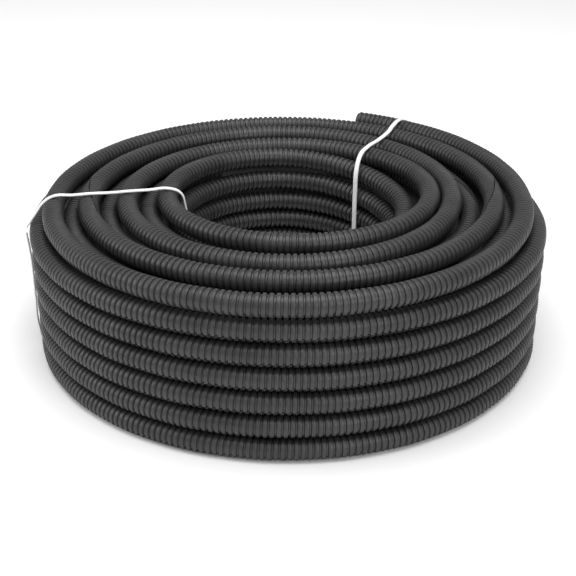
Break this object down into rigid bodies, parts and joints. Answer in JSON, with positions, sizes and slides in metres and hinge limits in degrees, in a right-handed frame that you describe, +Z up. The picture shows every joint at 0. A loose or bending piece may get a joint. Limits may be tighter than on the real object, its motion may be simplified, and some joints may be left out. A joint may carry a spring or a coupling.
{
  "type": "corrugated conduit",
  "caption": "Flat-lying coil of small black corrugated plastic conduit with one open end, held by two white plastic-coated twist ties.",
  "frame": {"origin": "on the floor under the centre of the coil's eye, at the height of the lowest turns", "axes": "+Z up along the coil's axis; +Y to the side where the conduit's open outer end lies, and that end points along -X"},
  "size_m": [0.2488, 0.2488, 0.0795],
  "materials": {
    "conduit_plastic": "satin black polypropylene",
    "tie_plastic": "satin white PVC coating"
  },
  "bodies": {
    "root": {"conduit": "conduit_plastic", "tie_left": "tie_plastic", "tie_right": "tie_plastic"}
  },
  "joints": []
}
